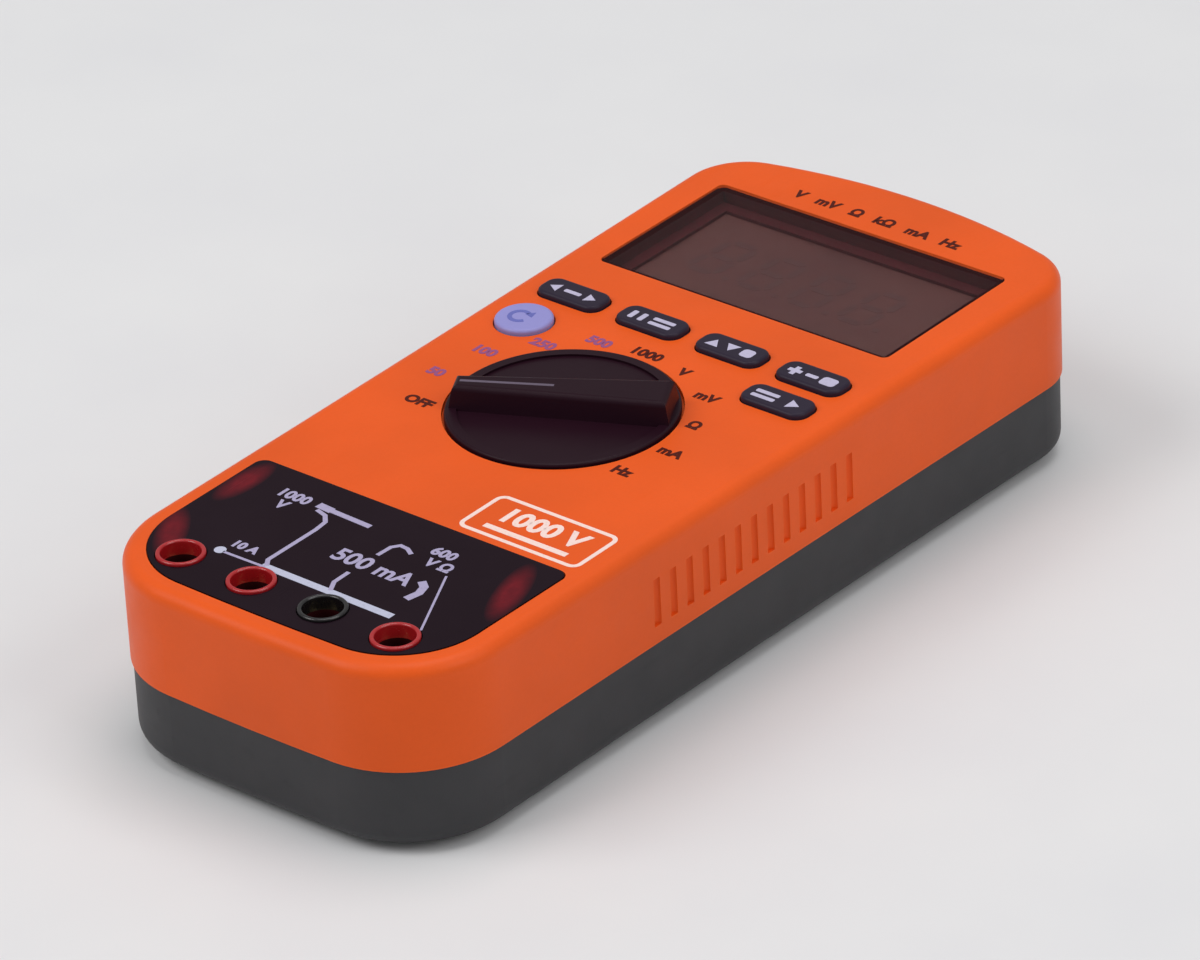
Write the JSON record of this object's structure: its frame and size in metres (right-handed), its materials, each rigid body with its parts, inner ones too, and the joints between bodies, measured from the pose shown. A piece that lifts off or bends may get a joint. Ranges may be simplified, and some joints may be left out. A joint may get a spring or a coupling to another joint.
{
  "type": "insulation resistance tester",
  "caption": "Hand-held digital insulation tester with display, push buttons, rotary switch, recessed input sockets and a fold-out tilt stand.",
  "frame": {"origin": "below the middle of the case, on the plane of the rear rubber feet", "axes": "+Z out of the face, +Y towards the display end, +X to the right as the face is read"},
  "size_m": [0.0974, 0.223, 0.0496],
  "materials": {
    "case_orange": "fine spark-eroded grain, satin",
    "case_charcoal": "fine grain, matt",
    "seal_rubber": "smooth",
    "window_clear": "polished clear plastic",
    "frame_black": "smooth, dull",
    "lcd_panel": "polarised glass, unlit",
    "diffuser_white": "smooth",
    "board_green": "solder resist",
    "keypad_rubber": "smooth",
    "button_dark": "smooth, satin",
    "button_blue": "smooth",
    "fuse_ceramic": "glazed ceramic body with metal caps",
    "contact_brass": "bright",
    "ferrite": "sintered",
    "coil_copper": "enamelled winding under tape",
    "capacitor_can": "sleeved can",
    "relay_plastic": "smooth",
    "varistor_blue": "dipped",
    "thermistor_yellow": "dipped",
    "resistor_body": "lacquered",
    "chip_black": "moulded",
    "steel_bright": "bright nickel",
    "knob_black": "satin",
    "pointer_pale": "painted inlay",
    "rotor_white": "smooth",
    "screw_steel": "zinc plated",
    "panel_gloss": "high gloss",
    "socket_metal": "bright",
    "collar_red": "smooth",
    "collar_black": "smooth",
    "cell_jacket": "printed steel jacket, blank",
    "cover_charcoal": "fine grain, matt",
    "stand_charcoal": "smooth, satin",
    "foot_rubber": "soft, dull",
    "label_silver": "blank satin foil"
  },
  "bodies": {
    "case": {"front_casing": "case_orange", "rear_casing": "case_charcoal", "case_seal": "seal_rubber", "display_window": "window_clear", "display_frame": "frame_black", "lcd_glass": "lcd_panel", "backlight": "diffuser_white", "zebra_strips": "seal_rubber", "main_board": "board_green", "keypad_mat": "keypad_rubber", "fuse_large": "fuse_ceramic", "fuse_small": "fuse_ceramic", "fuse_clips": "contact_brass", "transformer_core": "ferrite", "transformer_coil": "coil_copper", "filter_capacitors": "capacitor_can", "relays": "relay_plastic", "varistors": "varistor_blue", "thermistors": "thermistor_yellow", "input_resistors": "resistor_body", "main_chip": "chip_black", "small_chips": "chip_black", "crystal": "steel_bright", "sounder": "chip_black", "detent_ring": "rotor_white", "terminal_panel": "panel_gloss", "terminal_block": "frame_black", "terminal_base": "frame_black", "input_sockets": "socket_metal", "collars_red": "collar_red", "collar_black": "collar_black", "batteries": "cell_jacket", "battery_springs": "steel_bright", "battery_plates": "steel_bright", "battery_cover": "cover_charcoal", "cover_screws": "screw_steel", "casing_screws": "screw_steel", "board_screws": "screw_steel", "rubber_feet": "foot_rubber", "rear_label": "label_silver"},
    "knob": {"rotary_knob": "knob_black", "knob_pointer": "pointer_pale", "switch_rotor": "rotor_white", "rotor_screw": "screw_steel", "wiper_springs": "contact_brass", "detent_balls": "steel_bright", "detent_springs": "steel_bright"},
    "button_1": {"button_1": "button_dark"},
    "button_2": {"button_2": "button_dark"},
    "button_3": {"button_3": "button_dark"},
    "button_4": {"button_4": "button_dark"},
    "button_5": {"button_5": "button_dark"},
    "button_blue": {"button_blue": "button_blue"},
    "tilt_stand": {"tilt_stand": "stand_charcoal"}
  },
  "joints": [
    {"name": "knob_turn", "type": "hinge", "parent": "case", "child": "knob", "pos_m": [-0.0032, -0.0069, 0.044], "axis": [0, 0, 1], "range_deg": [-235, 0]},
    {"name": "button_1_press", "type": "slide", "parent": "case", "child": "button_1", "axis": [0, 0, -1], "range_m": [0, 0.001], "stiffness_N_per_m": 1200, "springref_m": -0.0003, "deforming": ["keypad_mat"]},
    {"name": "button_2_press", "type": "slide", "parent": "case", "child": "button_2", "axis": [0, 0, -1], "range_m": [0, 0.001], "stiffness_N_per_m": 1200, "springref_m": -0.0003, "deforming": ["keypad_mat"]},
    {"name": "button_3_press", "type": "slide", "parent": "case", "child": "button_3", "axis": [0, 0, -1], "range_m": [0, 0.001], "stiffness_N_per_m": 1200, "springref_m": -0.0003, "deforming": ["keypad_mat"]},
    {"name": "button_4_press", "type": "slide", "parent": "case", "child": "button_4", "axis": [0, 0, -1], "range_m": [0, 0.001], "stiffness_N_per_m": 1200, "springref_m": -0.0003, "deforming": ["keypad_mat"]},
    {"name": "button_5_press", "type": "slide", "parent": "case", "child": "button_5", "axis": [0, 0, -1], "range_m": [0, 0.001], "stiffness_N_per_m": 1200, "springref_m": -0.0003, "deforming": ["keypad_mat"]},
    {"name": "button_blue_press", "type": "slide", "parent": "case", "child": "button_blue", "axis": [0, 0, -1], "range_m": [0, 0.001], "stiffness_N_per_m": 1200, "springref_m": -0.0003, "deforming": ["keypad_mat"]},
    {"name": "stand_swing", "type": "hinge", "parent": "case", "child": "tilt_stand", "pos_m": [0, 0.0685, 0.0034], "axis": [1, 0, 0], "range_deg": [0, 60]}
  ]
}
